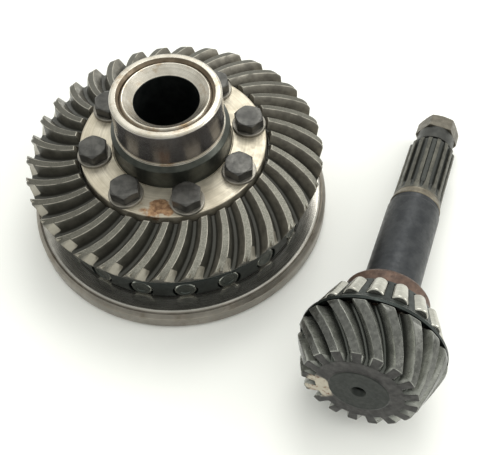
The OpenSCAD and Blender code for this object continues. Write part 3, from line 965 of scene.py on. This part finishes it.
def pinion_rollers(material):
    outline = [
        (0, 0), (PIN_ROLLER_BIG - 0.8, 0), (PIN_ROLLER_BIG, 0.8), (PIN_ROLLER_SMALL, PIN_ROLLER_LEN - 0.6),
        (PIN_ROLLER_SMALL - 0.6, PIN_ROLLER_LEN), (0, PIN_ROLLER_LEN)]
    part = lathe(outline, 0.6, 64, 4)
    for i in range(PIN_ROLLERS):
        place = PINION @ turn_z(PIN_ROLLER_TURN + i * 360 / PIN_ROLLERS)
        place = place @ shift(PIN_ROLLER_PATH, 0, PIN_ROLLER_S) @ turn_y(-PIN_ROLLER_TILT)
        make(f"pinion_bearing_roller_{i + 1}", part, "pinion_roller_set", [material],
             [f"pinion_roller_{i + 1}"], place=place)


def pinion_collar(material):
    outline = [(THREAD_R, 0), (COLLAR_R, 0), (COLLAR_R, COLLAR_W), (THREAD_R, COLLAR_W)]
    return make("tail_collar", lathe(outline, 0.6, 96), "pinion_shaft", [material],
                ["pinion_collar"], place=PINION @ shift(0, 0, COLLAR_S))


def pinion_nut(material):
    """Nut with the corners of its outer end broken, and a plain bore."""
    rows = hexagon_rows(NUT_AF, NUT_W)
    outer = rows[1:-3]
    angles = full_turn(96)
    inner = [revolve([point], angles)[0]
             for point in ((THREAD_R + 1.2, NUT_W), (THREAD_R, NUT_W - 1.2), (THREAD_R, 0.0))]
    part = grid_part(np.concatenate([outer, np.array(inner)]), closed=True)
    return make("tail_nut", part, "pinion_shaft", [material], ["pinion_nut"],
                place=PINION @ shift(0, 0, COLLAR_S + COLLAR_W) @ turn_z(NUT_TURN), sharp=24)


# ---- stage -----------------------------------------------------------------

CAMERA_AT = (49.16, -361.1, 497.35)
CAMERA_DOWN = 56.13
CAMERA_ROLL = -2.72
LENS = 59.53


def camera():
    """Looks down at the pair from the front."""
    pitch, roll = math.radians(CAMERA_DOWN), math.radians(CAMERA_ROLL)
    ahead = Vector((0, math.cos(pitch), -math.sin(pitch)))
    right = Vector((1, 0, 0))
    up = right.cross(ahead)
    x = right * math.cos(roll) + up * math.sin(roll)
    y = up * math.cos(roll) - right * math.sin(roll)
    data = bpy.data.cameras.new("camera")
    data.lens = LENS
    data.sensor_width = 36
    data.clip_end = 20
    eye = bpy.data.objects.new("camera", data)
    turn = Matrix((x, y, -ahead)).transposed().to_4x4()
    eye.matrix_world = Matrix.Translation(Vector(CAMERA_AT) * MM) @ turn
    bpy.context.scene.collection.objects.link(eye)
    bpy.context.scene.camera = eye


def area_light(name, at, size, power, colour=(1, 1, 0.95), target=(0.06, -0.06, 0.04)):
    data = bpy.data.lights.new(name, "AREA")
    data.energy = power
    data.size = size
    data.color = colour
    light = bpy.data.objects.new(name, data)
    light.location = at
    light.rotation_euler = (Vector(target) - Vector(at)).to_track_quat("-Z", "Y").to_euler()
    bpy.context.scene.collection.objects.link(light)


def world(towards, bright, dim):
    """Soft light from all round, bright from one side and dim from the other."""
    sky = bpy.data.worlds.new("studio")
    sky.use_nodes = True
    nodes, links = sky.node_tree.nodes, sky.node_tree.links
    place = nodes.new("ShaderNodeTexCoord")
    facing = nodes.new("ShaderNodeVectorMath")
    facing.operation = "DOT_PRODUCT"
    facing.inputs[1].default_value = Vector(towards).normalized()
    ramp = nodes.new("ShaderNodeMapRange")
    links.new(place.outputs["Generated"], facing.inputs[0])
    links.new(facing.outputs["Value"], ramp.inputs["Value"])
    ramp.inputs["From Min"].default_value = -0.3
    ramp.inputs["From Max"].default_value = 1.0
    ramp.inputs["To Min"].default_value = dim
    ramp.inputs["To Max"].default_value = bright
    links.new(ramp.outputs[0], nodes["Background"].inputs["Strength"])
    nodes["Background"].inputs["Color"].default_value = (0.985, 1.0, 0.945, 1)
    bpy.context.scene.world = sky


def floor():
    size = 6.0
    mesh = bpy.data.meshes.new("floor")
    corners = [(-size, -size, 0), (size, -size, 0), (size, size, 0), (-size, size, 0)]
    mesh.from_pydata(corners, [], [(0, 1, 2, 3)])
    mesh.materials.append(floor_material())
    piece = bpy.data.objects.new("floor", mesh)
    bpy.context.scene.collection.objects.link(piece)


# ---- everything ------------------------------------------------------------

def build():
    gear = gear_steel()
    dark = dark_steel("oily_dark_steel", turned=0.5)
    bright = bright_steel("ground_bright_steel", (0.48, 0.44, 0.38), (0.68, 0.64, 0.57),
                          rough=(0.22, 0.36), tint=(0.33, 0.24, 0.15))
    hub_flange = flange_steel((-9.5, -56.0, FLANGE_Z), (14, 7.5, 6))
    crown_wheel(gear)
    neck = dark_steel("dark_neck_steel", (0.030, 0.033, 0.028), (0.052, 0.056, 0.047), (0.3, 0.42), 0.6)
    # The bore's near-black steel is painted shade.
    bore = dark_steel("bore_steel", (0.012, 0.015, 0.015), (0.03, 0.034, 0.034), (0.3, 0.45), 0.8)
    crown_hub(hub_flange, neck, bright, bore)
    raceway = bright_steel("raceway_steel", (0.19, 0.175, 0.175), (0.25, 0.235, 0.23), rough=(0.2, 0.27),
                           rings=1.6, depth=0.0)
    hub_ring(bright, raceway, dark_steel("groove_steel", (0.12, 0.09, 0.06), (0.20, 0.155, 0.11)))
    flange_bolts(dark_steel("blackened_bolt_steel", (0.040, 0.039, 0.037), (0.088, 0.085, 0.080),
                            (0.28, 0.44)))
    flange_washers(dark_steel("washer_steel", (0.16, 0.15, 0.13), (0.27, 0.25, 0.22), (0.3, 0.45)))

    washer_face = bright_steel("ground_washer_steel", (0.30, 0.29, 0.265), (0.42, 0.40, 0.37),
                               rough=(0.2, 0.3), depth=0.004)
    washer_rim = bright_steel("washer_rim_steel", (0.26, 0.24, 0.21), (0.36, 0.33, 0.29),
                              rough=(0.28, 0.42), tint=(0.2, 0.17, 0.14))
    housing_washer(washer_face, washer_rim)
    shaft_washer(washer_rim)
    cage = dark_steel("dark_cage_steel", (0.009, 0.013, 0.012), (0.022, 0.029, 0.027), (0.3, 0.45))
    roller_body = bright_steel("thrust_roller_steel", (0.07, 0.08, 0.075), (0.13, 0.14, 0.13),
                               rough=(0.15, 0.25), depth=0.003)
    # Bright steel for the rollers' rims: a painted highlight.
    roller_corner_painted_highlight = bright_steel("roller_corner_steel", (0.42, 0.43, 0.39), (0.55, 0.56, 0.51),
                                 rough=(0.10, 0.15))
    thrust_rollers(roller_body, roller_corner_painted_highlight)
    bevelled_copy("thrust_bearing_cage", "thrust_cage", 0.35, "thrust_roller_set", cage)

    shaft = dark_steel("shaft_steel", (0.022, 0.024, 0.028), (0.040, 0.042, 0.046), (0.36, 0.5), 0.8)
    teeth = pinion_steel()
    disc = dark_steel("disc_steel", (0.020, 0.023, 0.021), (0.034, 0.038, 0.034), (0.4, 0.55))
    pinion_gear(teeth, disc, stained_toe(), shaft)
    band = dark_steel("seal_band_steel", (0.10, 0.085, 0.062), (0.19, 0.165, 0.125), (0.35, 0.5), 0.6)
    spline_tail(shaft, band, spline_steel())
    bearing_cone(rusted_steel(), bright)
    pinion_rollers(bright_steel("pinion_roller_steel", (0.42, 0.41, 0.37), (0.58, 0.57, 0.52),
                                rough=(0.16, 0.26), depth=0.003))
    bevelled_copy("pinion_cage", "pinion_bearing_cage", 0.3, "pinion_roller_set", cage)
    pinion_collar(dark_steel("collar_steel", (0.025, 0.025, 0.024), (0.05, 0.05, 0.046), (0.35, 0.5)))
    pinion_nut(dark_steel("nut_steel", (0.085, 0.075, 0.06), (0.15, 0.135, 0.11), (0.35, 0.55)))


build()
camera()
floor()
world((0.25, 0.45, 0.85), 1.35, 0.45)
area_light("window", (0.35, 0.9, 1.5), 0.8, 9)
area_light("side", (1.3, -0.2, 0.7), 0.6, 5)

scene = bpy.context.scene
scene.view_settings.view_transform = "Standard"
